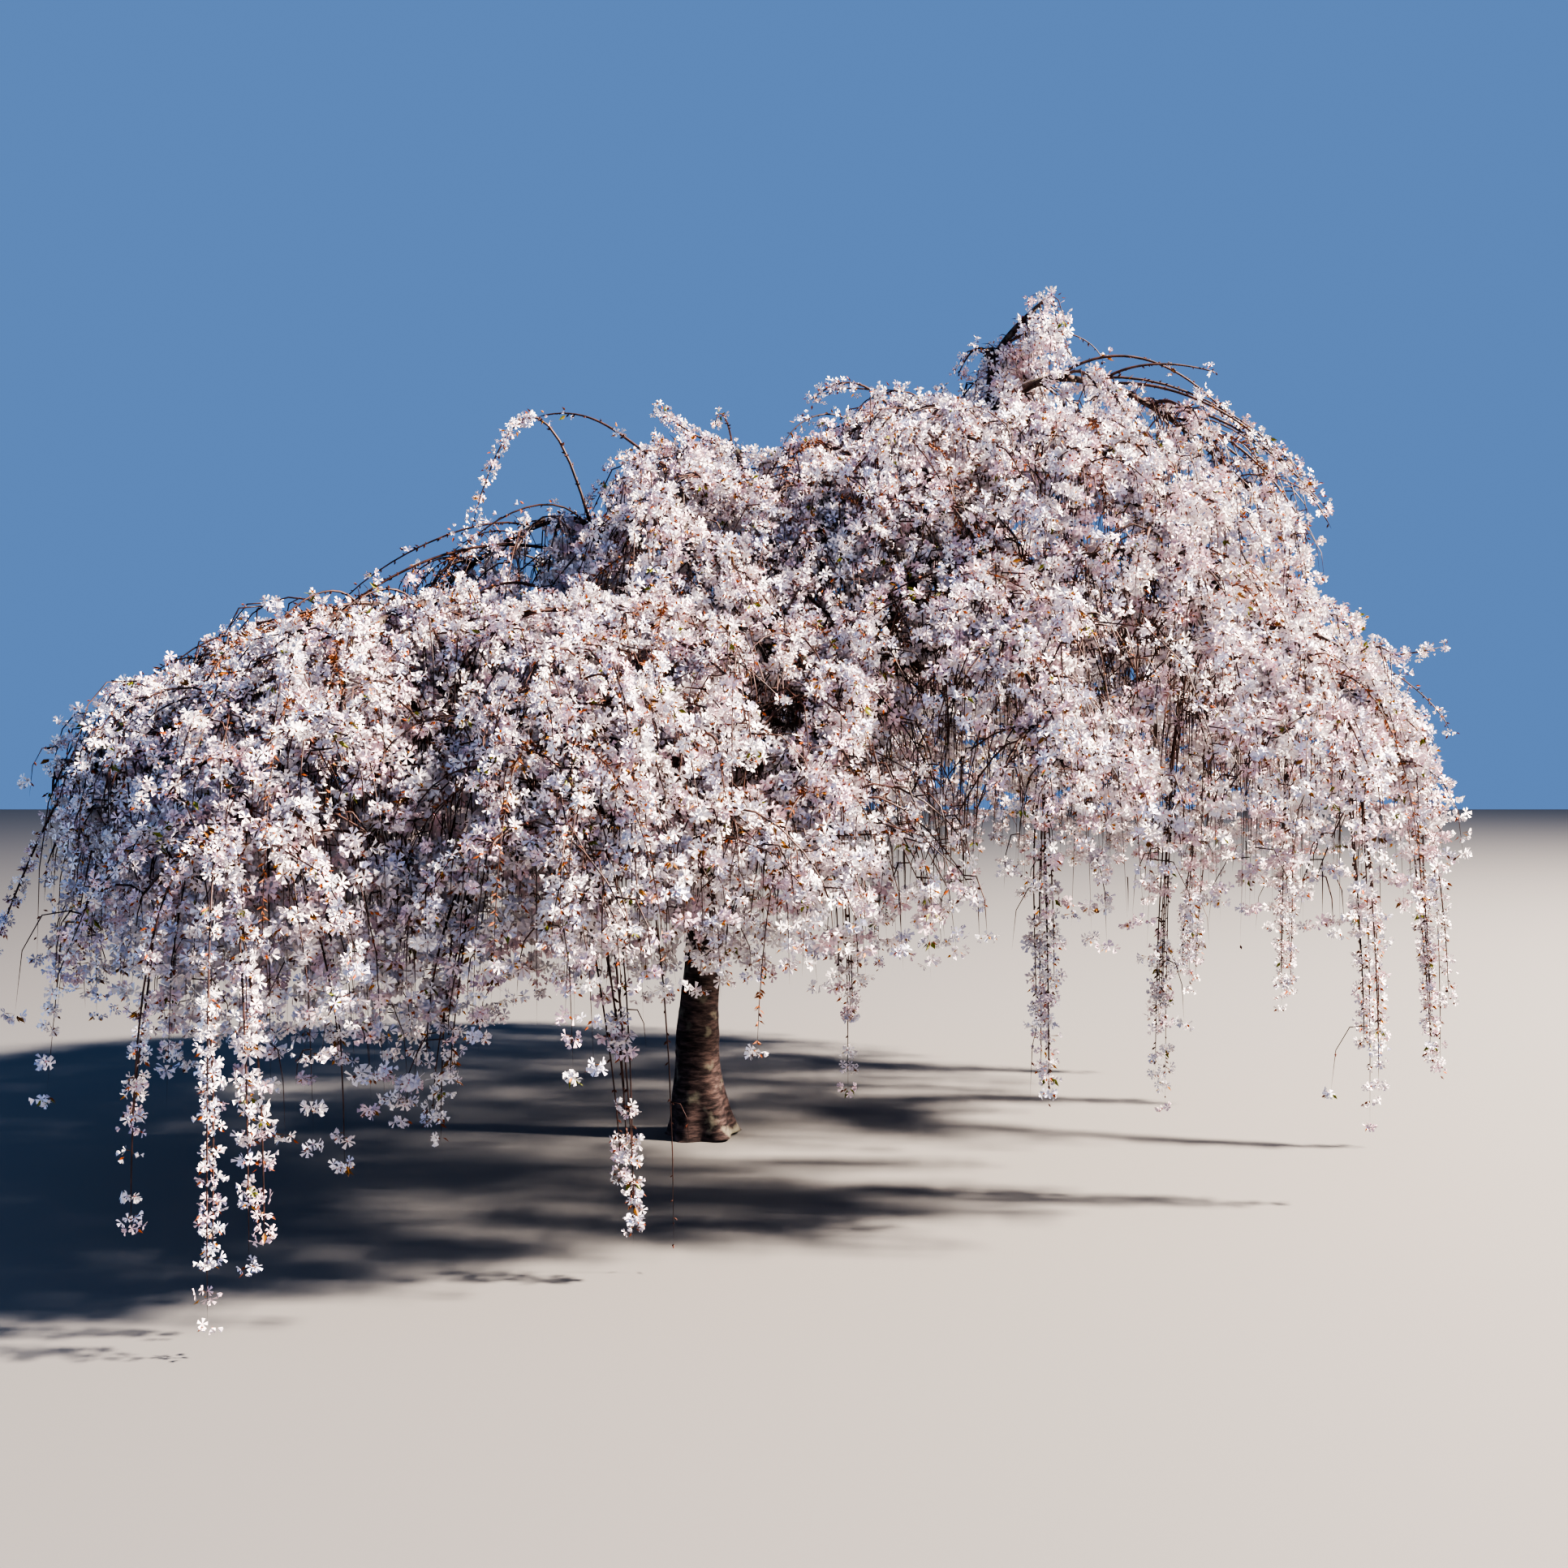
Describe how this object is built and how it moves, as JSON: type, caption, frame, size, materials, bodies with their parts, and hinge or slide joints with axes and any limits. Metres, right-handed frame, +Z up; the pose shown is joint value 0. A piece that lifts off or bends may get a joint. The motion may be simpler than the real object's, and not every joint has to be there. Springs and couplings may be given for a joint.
{
  "type": "weeping flowering cherry tree",
  "caption": "Weeping flowering cherry tree in full white blossom, rooted in the ground: a short leaning trunk, arching limbs and hanging masses of blossom.",
  "frame": {"origin": "the middle of the flat cut under the trunk, at ground level", "axes": "+X to the right and +Y away from the viewer as the picture sees the tree, +Z up"},
  "size_m": [5.6915, 5.2558, 3.53],
  "materials": {
    "bark": "rough dark grey-brown bark with cross bands of pores",
    "blossom": "matt thin white petals with red-brown stalks and buds"
  },
  "bodies": {
    "root": {"trunk": "bark", "bough_right": "bark", "bough_left": "bark", "bough_back": "bark", "bough_front": "bark", "leader": "bark", "limb_crown": "bark", "limb_crown_front": "bark", "limb_right": "bark", "limb_right_front": "bark", "limb_right_back": "bark", "limb_middle_front": "bark", "limb_middle": "bark", "limb_upper_right": "bark", "limb_upper_left": "bark", "limb_upper_front": "bark", "limb_upper_back": "bark", "limb_upper_middle": "bark", "limb_upper_left_back": "bark", "limb_back": "bark", "limb_back_right": "bark", "limb_back_middle": "bark", "limb_back_far_left": "bark", "limb_back_left": "bark", "limb_left_crown": "bark", "limb_far_left": "bark", "limb_left": "bark", "limb_left_middle": "bark", "limb_left_back": "bark", "limb_left_front": "bark", "limb_front_middle": "bark", "limb_front": "bark", "blossom_top": "blossom", "blossom_right": "blossom", "blossom_right_front": "blossom", "blossom_right_back": "blossom", "blossom_middle_front": "blossom", "blossom_middle": "blossom", "blossom_upper_right": "blossom", "blossom_upper_left": "blossom", "blossom_upper_front": "blossom", "blossom_upper_middle": "blossom", "blossom_upper_left_back": "blossom", "blossom_upper_back": "blossom", "blossom_back_right": "blossom", "blossom_back_middle": "blossom", "blossom_back_far_left": "blossom", "blossom_back": "blossom", "blossom_back_left": "blossom", "blossom_crown": "blossom", "blossom_crown_front": "blossom", "blossom_left_crown": "blossom", "blossom_far_left": "blossom", "blossom_left_middle": "blossom", "blossom_left": "blossom", "blossom_left_back": "blossom", "blossom_left_front": "blossom", "blossom_front": "blossom", "blossom_front_right": "blossom", "blossom_front_middle": "blossom"}
  },
  "joints": []
}
